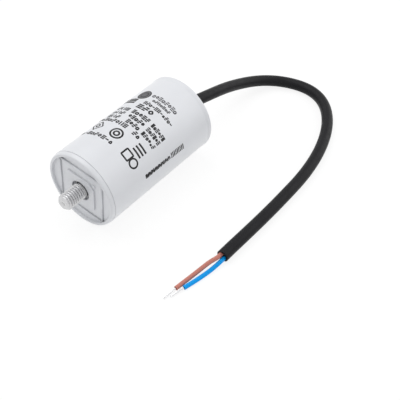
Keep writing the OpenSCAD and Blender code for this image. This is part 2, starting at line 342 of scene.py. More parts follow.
def smooth_route(points, spacing):
    """A natural cubic spline through the points, by its distance along their straight lines: each
    stretch is the cubic whose second derivatives at its ends solve one set of linear equations."""
    gap = np.linalg.norm(np.diff(points, axis=0), axis=1)
    knot = run_along(points)
    system = np.eye(len(points))
    inner = np.arange(1, len(points) - 1)
    system[inner, inner - 1] = gap[:-1]
    system[inner, inner] = 2 * (gap[:-1] + gap[1:])
    system[inner, inner + 1] = gap[1:]
    change = np.zeros_like(points)
    change[1:-1] = 6 * np.diff(np.diff(points, axis=0) / gap[:, None], axis=0)
    bend = np.linalg.solve(system, change)
    at = np.linspace(0, knot[-1], int(np.ceil(knot[-1] / spacing)) + 1)
    k = np.clip(np.searchsorted(knot, at, side="right") - 1, 0, len(gap) - 1)
    past, left, whole = (at - knot[k])[:, None], (knot[k + 1] - at)[:, None], gap[k][:, None]
    start = points[k] / whole - bend[k] * whole / 6
    end = points[k + 1] / whole - bend[k + 1] * whole / 6
    return start * left + end * past + (bend[k] * left ** 3 + bend[k + 1] * past ** 3) / (6 * whole)


def frames(path):
    """The direction of a path that never stands upright, and two square to it: level, and above it."""
    ahead = unit(np.gradient(path, axis=0))
    level = unit(np.cross([0, 0, 1], ahead))
    return ahead, level, np.cross(ahead, level)


def tube(path, radius, start, end, columns):
    """A surface round a path: a ring of the given radius at each inner point, and rings about its
    first and last point, each given as how far it is moved along the path and its radius. Also gives
    the same points laid along a straight path, for the finish."""
    last = len(path) - 1
    inner = np.stack([np.zeros(last - 1), np.full(last - 1, radius)], axis=1)
    station = np.repeat(np.arange(last + 1), [len(start), *np.ones(last - 1, int), len(end)])
    shift, radius = np.concatenate([start, inner, end]).T
    ahead, level, up = (arrows[station] for arrows in frames(path))
    turn, radius = whole_turn(columns)[None, :, None], radius[:, None, None]
    ring = np.cos(turn) * level[:, None] + np.sin(turn) * up[:, None]
    points = (path[station] + shift[:, None] * ahead)[:, None] + radius * ring
    along = np.broadcast_to((run_along(path)[station] + shift)[:, None, None], (len(station), columns, 1))
    straight = np.concatenate([radius * np.cos(turn), radius * np.sin(turn), along], axis=-1)
    return points, straight


def add_object(name, data):
    """A new object in the scene."""
    new = bpy.data.objects.new(name, data)
    bpy.context.scene.collection.objects.link(new)
    return new


def add_piece(name, shells, material, replaces=None, straight=None):
    """One object made of closed shells, in place in its mesh. Doubles are merged and faces turned out."""
    starts = np.cumsum([0] + [len(points) for points, _ in shells])
    points = np.concatenate([points for points, _ in shells])
    faces = np.concatenate([faces + start for (_, faces), start in zip(shells, starts)])
    mesh = bpy.data.meshes.new(name)
    mesh.from_pydata(points.tolist(), [], faces.tolist())
    if straight is not None:
        layer = mesh.attributes.new("straight", "FLOAT_VECTOR", "POINT")
        layer.data.foreach_set("vector", straight.astype(np.float32).ravel())
    work = bmesh.new()
    work.from_mesh(mesh)
    bmesh.ops.remove_doubles(work, verts=work.verts, dist=SAME_POINT)
    bmesh.ops.recalc_face_normals(work, faces=work.faces)
    work.to_mesh(mesh)
    work.free()
    mesh.shade_smooth()
    mesh.materials.append(material)
    piece = add_object(name, mesh)
    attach(piece, BODY)
    if replaces:
        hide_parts(replaces)
    return piece


# --- Materials ---


def add_node(tree, kind, values=(), wires=(), **settings):
    """Adds a node: its settings, the values of its inputs and the outputs wired into them. Gives its
    outputs."""
    node = tree.nodes.new("ShaderNode" + kind)
    for key, value in settings.items():
        setattr(node, key, value)
    for key, value in dict(values).items():
        node.inputs[key].default_value = value
    for key, output in dict(wires).items():
        tree.links.new(output, node.inputs[key])
    return node.outputs


class Finish:
    """A node material built up step by step round one Principled shader."""

    def __init__(self, name, tint, roughness, values=()):
        self.material = bpy.data.materials.new(name)
        self.material.use_nodes = True
        self.tree = self.material.node_tree
        self.shader = self.tree.nodes["Principled BSDF"]
        self.tint = tuple(tint)
        self.relief = None
        values = {"Base Color": (*self.tint, 1), "Roughness": roughness, **dict(values)}
        for key, value in values.items():
            self.shader.inputs[key].default_value = value

    def node(self, kind, values=(), wires=(), **settings):
        """Adds a node to the material."""
        return add_node(self.tree, kind, values, wires, **settings)

    def feed(self, key, output):
        """Wires an output into the shader."""
        self.tree.links.new(output, self.shader.inputs[key])

    def place(self, scale=(1, 1, 1), attribute=None, shift=(0, 0, 0)):
        """Coordinates for a pattern: the object's own, or an attribute of its mesh, times scale."""
        if attribute:
            start = self.node("Attribute", attribute_name=attribute)["Vector"]
        else:
            start = self.node("TexCoord")["Object"]
        return self.node("Mapping", {"Scale": scale, "Location": shift}, {"Vector": start})["Vector"]

    def noise(self, place, scale, detail=3.0):
        """Cloudy noise with about scale bumps to a metre."""
        return self.node("TexNoise", {"Scale": scale, "Detail": detail}, {"Vector": place})["Fac"]

    def spread(self, value, low, high, start=0.3, end=0.7):
        """Maps a pattern's range from start to end onto low to high."""
        values = {"From Min": start, "From Max": end, "To Min": low, "To Max": high}
        return self.node("MapRange", values, {"Value": value})["Result"]

    def vary_tint(self, value, other):
        """Blends the base colour towards another where the pattern is high."""
        ends = {"A": (*self.tint, 1), "B": (*other, 1)}
        self.feed("Base Color", self.node("Mix", ends, {"Factor": value}, data_type="RGBA")["Result"])

    def scale_tint(self, value):
        """Multiplies the colour that feeds the shader by a value."""
        wires = {"A": self.shader.inputs["Base Color"].links[0].from_socket, "B": value}
        mix = self.node("Mix", {"Factor": 1}, wires, data_type="RGBA", blend_type="MULTIPLY")
        self.feed("Base Color", mix["Result"])

    def cloud_tint(self, place, scale, share):
        """Clouds in which the colour goes to share times itself."""
        self.vary_tint(self.spread(self.noise(place, scale), 0, 1), scaled(self.tint, share))

    def cloud_gloss(self, place, scale, smooth, dull):
        """Clouds in which the roughness goes from smooth to dull."""
        self.feed("Roughness", self.spread(self.noise(place, scale), smooth, dull))

    def paint_shade_in_creases(self, share, reach):
        """Paints shade into the colour: darker by up to share where the piece's own walls close in within
        reach, the shade that falls in its creases.
        """
        open_air = self.node("AmbientOcclusion", {"Distance": reach}, only_local=True, samples=12)
        self.scale_tint(self.spread(open_air["AO"], 1 - share, 1, start=0.3, end=1))

    def paint_shade_beyond(self, low, high, share):
        """Paints shade into the colour: darker by share where the place along X passes from low to high."""
        split = self.node("SeparateXYZ", wires={"Vector": self.place()})
        self.scale_tint(self.spread(split["X"], 1, 1 - share, start=low, end=high))

    def bump(self, value, depth, strength):
        """Adds relief of the given depth, in metres."""
        wires = {"Height": value}
        if self.relief:
            wires["Normal"] = self.relief
        self.relief = self.node("Bump", {"Distance": depth, "Strength": strength}, wires)["Normal"]
        self.feed("Normal", self.relief)

    def grain(self, place, scale, depth, strength, detail=2):
        """Adds noise as relief."""
        self.bump(self.noise(place, scale, detail), depth, strength)


def scaled(tint, share):
    """A colour times share."""
    return tuple(share * c for c in tint)


def moulded_plastic(name, tint, painted_crease_shade=0.0, painted_shade_reach=0.0):
    """Satin moulded plastic: fine grain, faint clouds in colour and in gloss, and painted shade in its
    creases.
    """
    finish = Finish(name, tint, 0.42, {"Coat Weight": 0.7, "Coat Roughness": 0.3})
    place = finish.place()
    finish.cloud_tint(place, 45, share=0.965)
    finish.cloud_gloss(place, 160, smooth=0.36, dull=0.48)
    finish.grain(place, 2600, depth=0.012 * MM, strength=0.6)
    finish.grain(place, 90, depth=0.12 * MM, strength=0.35)
    if painted_crease_shade:
        finish.paint_shade_in_creases(painted_crease_shade, painted_shade_reach)
    return finish.material


def insulation(name, tint):
    """Extruded insulation: faint lines drawn along it and a soft sheen."""
    finish = Finish(name, tint, 0.45, {"Specular IOR Level": 0.2})
    drawn = finish.place((1, 1, 0.05), "straight")
    finish.cloud_tint(drawn, 900, share=0.86)
    finish.cloud_gloss(drawn, 500, smooth=0.32, dull=0.46)
    finish.grain(drawn, 1500, depth=0.02 * MM, strength=0.5)
    return finish.material


def sheath_rubber(name, tint):
    """Black flexible sheath: drawn lines, fine grain and faint dusty clouds."""
    finish = Finish(name, tint, 0.55, {"Specular IOR Level": 0.15})
    drawn = finish.place((1, 1, 0.03), "straight")
    even = finish.place(attribute="straight")
    finish.cloud_tint(even, 120, share=1.4)
    finish.cloud_gloss(even, 300, smooth=0.34, dull=0.5)
    finish.grain(drawn, 900, depth=0.04 * MM, strength=0.5)
    finish.grain(even, 2500, depth=0.015 * MM, strength=0.6)
    return finish.material


def plated_metal(name, tint, roughness, grain=700.0, metallic=1.0, foot=None):
    """Bright plated or tinned metal: cloudy gloss, fine tool marks and, with foot, painted shade towards
    one end. Foot is where that painted shade starts and is full along X, and how much darker it is."""
    finish = Finish(name, tint, roughness, {"Metallic": metallic})
    place = finish.place()
    finish.cloud_tint(place, grain, share=0.9)
    finish.cloud_gloss(place, 2 * grain, smooth=0.8 * roughness, dull=1.25 * roughness)
    finish.grain(place, 4 * grain, depth=0.003 * MM, strength=0.4)
    if foot:
        finish.paint_shade_beyond(*foot)
    return finish.material


def grainy(name, tint, roughness, grain, depth, metallic=0.0):
    """Sprayed metal, tape, lead insulation or resin: coarse grain in colour and in height."""
    finish = Finish(name, tint, roughness, {"Metallic": metallic})
    place = finish.place()
    finish.cloud_tint(place, grain, share=0.7)
    finish.grain(place, 2 * grain, depth, strength=0.8, detail=3)
    return finish.material


def wound_film(name, tint):
    """Wound film: fine rings about the case's axis."""
    finish = Finish(name, tint, 0.3, {"Metallic": 0.7})
    rings = finish.node("TexWave", {"Scale": 900}, {"Vector": finish.place(shift=(0, 0, -AXIS_Z))},
                        wave_type="RINGS", rings_direction="X")["Fac"]
    finish.vary_tint(rings, scaled(tint, 0.75))
    finish.bump(rings, depth=0.02 * MM, strength=0.5)
    return finish.material


def printing_ink(name, tint):
    """Dry ink, a little thinner in places."""
    finish = Finish(name, tint, 0.55, {"Specular IOR Level": 0.25})
    thin = finish.spread(finish.noise(finish.place(), 1200), 0, 1)
    finish.vary_tint(thin, tuple(c + 0.02 for c in tint))
    return finish.material


# --- The case ---

# How deep a foot reaches under the surface that it stands on
SUNK = 0.1 * MM


def pad_radius(turn, grow, look):
    """Distance of the pad's outline from the axis in each direction, with its sides moved out by grow.

    The outline is convex, so in the direction t it lies on the nearest of its sides:
    the least (distance + grow) / cos(t - normal) over all sides that face that way.
    """
    half, cut, soft = look.pad_side / 2, look.pad_chamfer, look.pad_corner
    outline = rounded([(half, half, soft), (-half, half, soft), (-half, cut - half, soft / 2),
                       (cut - half, -half, soft / 2), (half, -half, soft)], steps=8)
    side = np.roll(outline, -1, axis=0) - outline
    normal = unit(np.stack([side[:, 1], -side[:, 0]], axis=1))
    distance = (outline * normal).sum(1)
    facing = np.cos(turn[:, None] - np.arctan2(normal[:, 1], normal[:, 0]) - look.rib_turn)
    reach = (distance + np.asarray(grow)[..., None, None]) / np.maximum(facing, 1e-3)
    return reach.min(-1)


def wall_radius():
    """Radius of the case outside."""
    return LIP_RADIUS - bpy.context.scene.capacitor_case.lip_height


def rim_inside(look):
    """Radius at the rim's inner edge."""
    return wall_radius() - look.band_drop - look.rim_width


def case_section(look):
    """Closed section of the case as (along, out) points, from the mouth past the band and round to the
    bore. The band is the first 78 degrees of a quarter of an ellipse."""
    wall_r = wall_radius()
    rim_out, rim_in = wall_r - look.band_drop, rim_inside(look)
    bore, half = wall_r - look.wall, look.pad_side / 2
    floor_x = RIM_X + look.recess
    pad_x = floor_x - look.pad_height
    well_x = pad_x + look.well_depth
    base_x = floor_x + look.base
    band_x = RIM_X + look.band_length
    lip_x = MOUTH_X - look.lip_length
    sweep = np.radians(np.linspace(0, 78, 14))
    band = np.stack([band_x - look.band_length * np.sin(sweep),
                     rim_out + (look.band_drop - look.band_step) * np.cos(sweep), 0 * sweep], axis=1)
    soft, fine = look.edge, 0.04 * MM
    return section_of([
        (LID_X, bore, fine), (LID_X, bore + look.ledge, fine), (MOUTH_X, bore + look.ledge, fine),
        (MOUTH_X, LIP_RADIUS, 2 * soft), (lip_x + look.lip_ramp, LIP_RADIUS, look.lip_ease),
        (lip_x, wall_r, look.lip_ease), (band_x + 0.6 * look.crease, wall_r, 2 * fine),
        (band_x + 0.1 * look.crease, wall_r - look.crease, fine), *band.tolist(),
        (RIM_X, rim_out - 0.1 * MM, 2 * soft), (RIM_X, rim_in, soft),
        (floor_x, rim_in - look.draft, 1.5 * soft), (floor_x, half, soft), (pad_x, half, soft),
        (pad_x, look.well_radius, 0.7 * soft), (well_x, look.well_radius, soft),
        (well_x, look.hole_radius, fine), (base_x, look.hole_radius, fine),
        (base_x, look.head_radius, fine), (HEAD_X, look.head_radius, fine),
        (HEAD_X, look.boss_radius, fine), (base_x, look.boss_radius, fine), (base_x, bore, fine)])


def case_shell(look):
    """The moulding as one closed surface.

    A row is a circle of radius out, or the pad's outline grown by out - half its side, or a blend of
    the two. The blend is 1 at the pad's edge and 0 at the well and at the rim, so that only the two
    flat faces between them change between round and square.
    """
    section = case_section(look)
    along, out, half = section[:, :1], section[:, 1], look.pad_side / 2
    # More columns about the pad's corners, where the chamfer has the ones at 213 and 237 degrees
    corners = np.radians(np.array([45, 135, 213, 237, 315])[:, None] + np.linspace(-4, 4, 17))
    turn = np.sort(np.concatenate([whole_turn(288), ((look.rib_turn + corners) % (2 * np.pi)).ravel()]))
    turn = turn[np.diff(turn, prepend=-1) > 1e-4]
    # The blend rises from just beyond the well, falls to inside the rim, and is 0 behind the floor
    well_out, rib_in = look.well_radius + 0.3 * MM, rim_inside(look) - 1.1 * MM
    ramp = [well_out, half - 0.5 * MM, half + 0.5 * MM, rib_in]
    blend = np.interp(out, ramp, [0, 1, 1, 0], left=0, right=0)
    blend[along[:, 0] > RIM_X + look.recess + 0.1 * MM] = 0
    square = pad_radius(turn, out - half, look)
    radius = (1 - blend[:, None]) * out[:, None] + blend[:, None] * square
    return grid(around(along, radius, turn), wrap_rows=True)


def rib_shell(look, turn):
    """A straight rib with a rounded top and a foot sunk in the floor, both ends inside the rim.

    Its section of (across, height) points is carried along the chord at rim radius / sqrt 2, and
    closes to its middle at both ends.
    """
    foot, top = look.rib_width / 2, 0.43 * look.rib_width
    section = section_of([(-foot, -SUNK, 0), (-top, look.rib_height, look.edge),
                          (top, look.rib_height, look.edge), (foot, -SUNK, 0)], 0.05 * MM)
    away = rim_inside(look) / math.sqrt(2)
    reach = away + 0.4 * MM
    middle = section.mean(0)
    row = middle + np.array([0, 1, 1, 0])[:, None, None] * (section - middle)
    station = np.array([-1, -1, 1, 1])[:, None] * reach
    return grid(beside(RIM_X + look.recess - row[..., 1], away + row[..., 0], station, turn))


def pip_shell(look):
    """A low round pip beside the pad's chamfer: a section of (height, radius) points turned about its
    own middle."""
    r, high = look.pip_width / 2, look.pip_height
    section = section_of([(-SUNK, 0, 0), (-SUNK, r + SUNK, 0), (0.01 * MM, r, look.edge),
                          (high, 0.9 * r, look.edge), (high, 0, 0)], 0.05 * MM, closed=False)
    height, radius = section[:, :1], section[:, 1:]
    turn, chamfer_turn = whole_turn(40), look.rib_turn + math.radians(225)
    away = (look.pad_side - look.pad_chamfer) / math.sqrt(2) + look.pip_gap + r
    return grid(beside(RIM_X + look.recess - height, radius * np.cos(turn) + away,
                       radius * np.sin(turn), chamfer_turn))


class CapacitorAddCase(bpy.types.Operator):
    """Build the moulded case with its ribbed end"""

    bl_idname = "capacitor.add_case"
    bl_label = "Case"

    def execute(self, context):
        look = context.scene.capacitor_case
        turns = look.rib_turn + np.radians([0, 90, 180, 270])
        shells = [case_shell(look), *[rib_shell(look, turn) for turn in turns], pip_shell(look)]
        # The case's plastic gets shade painted into its creases
        plastic = moulded_plastic("case_plastic", look.tint, look.painted_crease_shade, look.painted_shade_reach)
        add_piece("moulded_case", shells, plastic, "case")
        return {"FINISHED"}


def lid_shell(look, hole, rim):
    """The lid: a disc with a hole and a collar, turned once round the axis."""
    collar = hole + look.collar_wall
    section = section_of([
        (LID_X, hole, 0.05 * MM), (LID_X, rim, 0.05 * MM), (MOUTH_X - look.edge, rim, 0.1 * MM),
        (MOUTH_X, rim - look.edge, 0.1 * MM), (MOUTH_X, collar, 0.5 * MM),
        (GLAND_X, collar - look.edge, 0.15 * MM), (GLAND_X, hole, 0.2 * MM)])
    return grid(revolved(section), wrap_rows=True)


class CapacitorAddLid(bpy.types.Operator):
    """Build the lid with its collar round the cable"""

    bl_idname = "capacitor.add_lid"
    bl_label = "Lid"

    def execute(self, context):
        look, case = context.scene.capacitor_lid, context.scene.capacitor_case
        hole = context.scene.capacitor_cable.sheath / 2 + look.fit
        rim = wall_radius() - case.wall + case.ledge - look.fit
        plastic = moulded_plastic("lid_plastic", look.tint)
        add_piece("end_lid", [lid_shell(look, hole, rim)], plastic, "lid")
        return {"FINISHED"}


# --- The stud ---


def thread_radius_at(along, turn, look):
    """Radius of the stud over its thread.

    The phase runs from 0 to 1 over one pitch along the stud and once round it. Adding the turn to it
    makes the thread left-hand. A standard stud's is right-hand, for which the turn is taken away. The
    height over the root is 1 on the crest, an eighth of the pitch wide, falls along straight flanks of
    60 degrees included angle and is 0 in the root. About a third of it is eased at crest and root, as
    a rolled thread is. It fades out in the pitch before the plain length, and the tip's chamfer cuts
    it.
    """
    phase = (along / look.pitch + turn / (2 * np.pi)) % 1
    away = 2 * np.abs(phase - 0.5)
    flank = 2 * look.thread_depth * math.tan(math.radians(30)) / look.pitch
    height = np.clip((0.125 + flank - away) / flank, 0, 1)
    height = 0.35 * height ** 2 * (3 - 2 * height) + 0.65 * height
    last_x = RIM_X + look.collar_drop - look.plain_length
    fade = np.clip((last_x - along) / look.pitch, 0, 1)
    chamfer = look.thread_radius - look.tip_chamfer + (along - TIP_X)
    return np.minimum(look.thread_radius - look.thread_depth * (1 - height) * fade, chamfer)


def stud_shell(look):
    """The stud as rings from its tip over the thread and the collar to its head.

    The head is a hexagon, whose radius is half its flats over the cosine of the turn from the middle
    of the nearest flat.
    """
    collar_x, head_x = RIM_X + look.collar_drop, HEAD_X - look.head_height
    turn = whole_turn(144)
    # A shallow centre mark in the flat of the tip
    mark_depth, mark_floor, mark_edge = 0.25 * MM, 0.5 * MM, 0.75 * MM
    flat = look.thread_radius - look.tip_chamfer - 0.1 * MM
    tip = around(TIP_X + np.array([[mark_depth], [mark_depth], [0], [0]]),
                 np.array([[0], [mark_floor], [mark_edge], [flat]]), turn)
    rings_per_pitch = 24
    rings = int((collar_x - TIP_X) / look.pitch * rings_per_pitch)
    along = np.linspace(TIP_X, collar_x, rings)[:, None]
    thread = around(along, thread_radius_at(along, turn, look), turn)
    collar = section_of([(collar_x, look.thread_radius, 0), (collar_x, look.collar_radius, 0.12 * MM),
                         (head_x, look.collar_radius, 0)], closed=False)
    hexagon = look.head_flats / 2 / np.cos((turn + math.pi / 6) % (math.pi / 3) - math.pi / 6)
    ends = [head_x, head_x, head_x + look.head_chamfer, HEAD_X - look.head_chamfer, HEAD_X, HEAD_X]
    share = np.array([0.75, 0.97, 1, 1, 0.97, 0])[:, None]
    head = around(np.array(ends)[:, None], share * hexagon, turn)
    return grid(np.concatenate([tip, thread, revolved(collar, len(turn)), head]))


class CapacitorAddStud(bpy.types.Operator):
    """Build the threaded stud with its collar and its hexagonal head"""

    bl_idname = "capacitor.add_stud"
    bl_label = "Stud"

    def execute(self, context):
        look, case = context.scene.capacitor_stud, context.scene.capacitor_case
        pad_x = RIM_X + case.recess - case.pad_height
        # The steel gets shade painted into it down in the well, past the pad's face
        steel = plated_metal("plated_steel", look.tint, 0.26, metallic=0.85,
                             foot=(pad_x - 0.5 * MM, pad_x, look.painted_well_shade))
        add_piece("threaded_stud", [stud_shell(look)], steel, "mounting_stud")
        return {"FINISHED"}


# --- Print ---

# Middle lines of the small marks in a unit cell: whether the line is closed, and its points
MARKS = {
    "low": ((True, ((0, 0), (1, 0), (1, 0.66), (0, 0.66))),),
    "gem": ((True, ((0.5, 0), (1, 0.5), (0.5, 1), (0, 0.5))),),
    "wedge": ((True, ((0, 0), (1, 0), (0.5, 0.95))),),
    "bars": ((False, ((0, 0), (1, 0))), (False, ((0, 0.5), (1, 0.5))), (False, ((0, 1), (1, 1)))),
    "pair": ((False, ((0.05, 0), (0.05, 1))), (False, ((0.95, 0), (0.95, 1)))),
    "step": ((False, ((0, 0), (0.5, 0))), (False, ((0, 0.5), (1, 0.5))), (False, ((0.5, 1), (1, 1)))),
    "dash": ((False, ((0.1, 0.45), (0.9, 0.45))),),
}
# The print is given in millimetres along the case and round it, and in degrees from the top towards
# -Y. Rows of small marks: place along the case, first and last turn, height of a mark, width of its
# strokes, and the marks
ROWS = (
    (-12.7, -50, 16, 2.5, 0.66, "pair wedge dash bars low step gem bars dash wedge"),
    (-0.7, -60, 10, 2.6, 0.68, "bars gem step wedge bars low step gem pair bars"),
    (-0.7, 20, 33, 2.7, 0.7, "step wedge"),
    (2.5, -36, -12, 2.4, 0.64, "bars pair step"),
    (2.5, 0, 23, 2.7, 0.74, "bars gem step low"),
    (2.5, 28, 55, 2.5, 0.66, "pair step low gem wedge step"),
    (6.0, -36, -12, 2.4, 0.64, "low pair step"),
    (6.0, -5, 23, 2.7, 0.74, "gem bars low step gem"),
    (6.0, 28, 55, 2.5, 0.66, "bars low step pair gem bars"),
    (9.4, -36, -12, 2.4, 0.64, "step pair bars"),
    (9.4, -7, 23, 2.7, 0.74, "bars low gem bars step"),
    (9.4, 28, 55, 2.5, 0.66, "pair low bars gem step pair"),
    (14.0, -10, 19, 3.2, 0.85, "bars step gem"),
    (16.8, -58, -18, 4.0, 1.1, "pair bars"),
    (17.6, -7, 46, 2.3, 0.6, "pair step low dash bars pair dash wedge step low dash"),
    (21.0, 0, 31, 1.8, 0.48, "low step pair low bars low step"),
)
# Rows of small marks in grey
FAINT_ROWS = (
    (24.0, -7, 37, 2.6, 0.62, "low gem bars low step gem bars low"),
)
# Regular outlines: sides, radius, turn of the first corner, place along the case, turn and stroke
OUTLINES = (
    # A target beside a lozenge
    (48, 2.9, 0, -7, 7, 0.9),
    (36, 1.3, 0, -7, 7, 0.9),
    (4, 3.4, 0, -6.6, -29, 0.66),
    (4, 1.3, 0, -6.6, -29, 0.66),
    # A large square and ring
    (4, 3.1, 45, -11.2, 39, 0.85),
    (48, 2.2, 0, -11.2, 53, 0.85),
)
# Rings on a grey disc, given as outlines are, and the disc: radius, place along the case and turn
RINGS = (
    (48, 3.4, 0, 22.7, -20, 0.42),
    (36, 1.9, 0, 22.7, -20, 0.36),
)
DISC = (3.4, 22.7, -20)
# Greatest distance between two points along a line of ink, so that it follows the wall
INK_STEP = 0.5 * MM


def ink_line(points, closed, stroke, thickness):
    """A flat line of ink, as rows of (across, up, height) points.

    The line's middle is sampled every half millimetre and moved half a stroke to both sides. Each
    row holds the lower and upper point of one edge and the upper and lower point of the other. A
    closed line's corners are arcs, and an open one is half a stroke longer at both ends.
    """
    if closed:
        points = rounded([(*point, 0.45 * stroke) for point in points], steps=3)
        points = np.vstack([points, points[:1]])
    run = run_along(points)
    extra = np.linspace(0, run[-1], int(run[-1] / INK_STEP) + 2)
    at = np.unique(np.round(np.concatenate([run, extra]), 8))
    line = np.stack([np.interp(at, run, column) for column in np.transpose(points)], axis=1)
    if closed:
        line = line[:-1]
        ahead = np.roll(line, -1, axis=0) - np.roll(line, 1, axis=0)
    else:
        ahead = np.gradient(line, axis=0)
    ahead = unit(ahead)
    aside = np.stack([-ahead[:, 1], ahead[:, 0]], axis=1) * stroke / 2
    if not closed:
        line[0] -= ahead[0] * stroke / 2
        line[-1] += ahead[-1] * stroke / 2
    edge = np.stack([line + aside, line + aside, line - aside, line - aside], axis=1)
    height = np.broadcast_to(np.array([-1, 1, 1, -1]) * thickness, edge.shape[:2])
    flat = np.concatenate([edge, height[..., None]], axis=-1)
    if not closed:
        first, last = flat[:1].mean(1, keepdims=True), flat[-1:].mean(1, keepdims=True)
        flat = np.concatenate([np.repeat(first, 4, 1), flat, np.repeat(last, 4, 1)])
    return flat


def ink_disc(radius, thickness):
    """A filled disc of ink: rings half a millimetre apart, out under the surface and back on top."""
    out = np.linspace(0, radius, int(radius / INK_STEP) + 2)
    out, height = np.concatenate([out, out[::-1]]), np.repeat([-thickness, thickness], len(out))
    out, height, turn = np.broadcast_arrays(out[:, None], height[:, None], whole_turn(48))
    return np.stack([out * np.cos(turn), out * np.sin(turn), height], axis=-1)


def on_wall(flat, x, turn, closed=False):
    """Bends flat points round the wall about a place in millimetres and degrees: across runs from the
    top towards -Y, up runs along X, and height stands out from the wall."""
    turn = math.pi + math.radians(turn) + flat[..., 0] / wall_radius()
    return grid(around(x * MM + flat[..., 1], wall_radius() + flat[..., 2], turn), wrap_rows=closed)


def mark_row(thickness, x, first, last, high, stroke, marks):
    """A row of small marks, each a little narrower than its share of the row."""
    marks = marks.split()
    cell = math.radians(last - first) * wall_radius() / len(marks)
    size = np.array([0.9 * cell, high * MM]) - stroke * MM
    shells = []
    for index, mark in enumerate(marks):
        for closed, points in MARKS[mark]:
            line = np.array(points) * size + [index * cell + 0.5 * stroke * MM, -size[1] / 2]
            shells.append(on_wall(ink_line(line, closed, stroke * MM, thickness), x, first, closed))
    return shells


def outline_mark(thickness, sides, radius, first, x, turn, stroke):
    """A regular outline about the place (x, turn), with its first corner at the angle first."""
    at = math.radians(first) + whole_turn(sides)
    points = radius * MM * np.stack([np.cos(at), np.sin(at)], axis=1)
    return on_wall(ink_line(points, True, stroke * MM, thickness), x, turn, True)


def bar_mark(thickness, start, end, x, turn, stroke):
    """A straight bar from start to end, as (across, up) places."""
    return on_wall(ink_line(np.array([start, end]) * MM, False, stroke * MM, thickness), x, turn)


def bars():
    """Start, end, place along the case, turn and stroke of the single bars.

    Three are thick. Then a run of slanted dashes goes from close and heavy to thin, and tall bars go
    on from it, of which every third is broken.
    """
    for x in (-6.7, -4.7, -2.7):
        yield (-2.4, 0), (2.4, 0), x, 45, 0.9775
    for i, x in enumerate(np.arange(-7.4, 9.9, 0.62)):
        tall, lean = 0.74 + 0.2 * math.sin(2.3 * i), 0.2 * math.sin(1.7 * i)
        yield (-tall, -lean), (tall, lean), x, 81, 0.7 - 0.008 * i
    for i, x in enumerate(np.arange(10.7, 20, 1.05)):
        parts = ((-1.2, 1.2),) if i % 3 else ((-1.2, -0.2), (0.7, 1.2))
        for start, end in parts:
            yield (start, 0), (end, 0), x, 80.5, 0.64


class CapacitorAddPrint(bpy.types.Operator):
    """Lay rows of plain printed marks on the wall"""

    bl_idname = "capacitor.add_print"
    bl_label = "Print"

    def execute(self, context):
        look = context.scene.capacitor_print
        thick = look.thickness
        black = [shell for row in ROWS for shell in mark_row(thick, *row)]
        black += [outline_mark(thick, *outline) for outline in OUTLINES]
        black += [bar_mark(thick, *bar) for bar in bars()]
        radius, x, turn = DISC
        grey = [shell for row in FAINT_ROWS for shell in mark_row(thick, *row)]
        grey += [on_wall(ink_disc(radius * MM, thick / 2), x, turn)]
        rings = [outline_mark(thick, *ring) for ring in RINGS]
        for name, shells, ink, tint in (("printed_marks", black, "black_ink", look.tint),
                                        ("faint_marks", grey, "grey_ink", look.faint),
                                        ("ringed_marks", rings, "ring_ink", look.tint)):
            add_piece(name, shells, printing_ink(ink, tint))
        return {"FINISHED"}


# --- The cable ---


def sheath_shell(path, look):
    """The sheath: a tube round the path, cut square. Where the cores leave it there is a hollow, whose
    radius goes from 0.79 to 0.73 of the sheath's."""
    r, edge, deep = look.sheath / 2, 0.12 * MM, look.mouth_depth
    start = [(0, 0), (0, r - edge), (edge, r)]
    end = [(-3 * edge, r), (-edge, r), (0, r - edge), (0, 0.79 * r), (-edge, 0.75 * r),
           (-deep, 0.73 * r), (-deep, 0)]
    return tube(path, r, start, end, 64)


def core_shell(path, look):
    """A core's insulation: a tube from inside the sheath, cut square round its strands."""
    r, bore, edge, deep = look.core / 2, look.core_bore / 2, 0.06 * MM, 0.6 * MM
    start = [(-look.mouth_depth, 0), (-look.mouth_depth, r), (0, r)]
    end = [(-3 * edge, r), (-edge, r), (0, r - edge), (0, bore + edge), (-edge, bore), (-deep, bore),
           (-deep, 0)]
    return tube(path, r, start, end, 40)


def strand_shells(path, look):
    """Strands twisted round the path, each closed by a low dome at its tip.

    The middle one is straight. Six lie round it at 1.02 strand diameters and twelve at 1.98, and
    each goes once round in the lay length. All are one array of (strand, station) points.
    """
    level, up = frames(path)[1:]
    away = look.strand * np.concatenate([[0], np.full(6, 1.02), np.full(12, 1.98)])[:, None, None]
    start = np.concatenate([[0], np.arange(6) * np.pi / 3, np.arange(12) * np.pi / 6 + 0.2])
    turn = (start[:, None] + 2 * np.pi * run_along(path) / look.lay)[..., None]
    lines = path + away * (np.cos(turn) * level + np.sin(turn) * up)
    r = look.strand / 2
    dome = [(0, r), (0.05 * MM, 0.6 * r), (0.06 * MM, 0)]
    return [grid(tube(line, r, [(0, 0), (0, r)], dome, 10)[0]) for line in lines]


class CapacitorAddCable(bpy.types.Operator):
    bl_idname = "capacitor.add_cable"
    bl_label = "Cable"

    def execute(self, context):
        look = context.scene.capacitor_cable
        path = smooth_route(CABLE_ROUTE, 0.6 * MM)
        points, straight = sheath_shell(path, look)
        rubber = sheath_rubber("sheath_black", look.sheath_tint)
        sheath = add_piece("cable_sheath_skin", [grid(points)], rubber, "cable_sheath",
                           straight)
        tin = plated_metal("tinned_copper", look.tin, 0.22, grain=2500)
        for name, route, tip, tint in (("brown", BROWN_ROUTE, BROWN_TIP, look.brown),
                                       ("blue", BLUE_ROUTE, BLUE_TIP, look.blue)):
            points, straight = core_shell(smooth_route(route, 0.4 * MM), look)
            add_piece(name + "_insulation", [grid(points)], insulation(name + "_plastic", tint),
                                  name + "_core", straight)
            strands = strand_shells(smooth_route(tip, 0.3 * MM), look)
            add_piece(name + "_bare_strands", strands, tin, name + "_strands")
        return {"FINISHED"}


# --- Sealed pieces ---


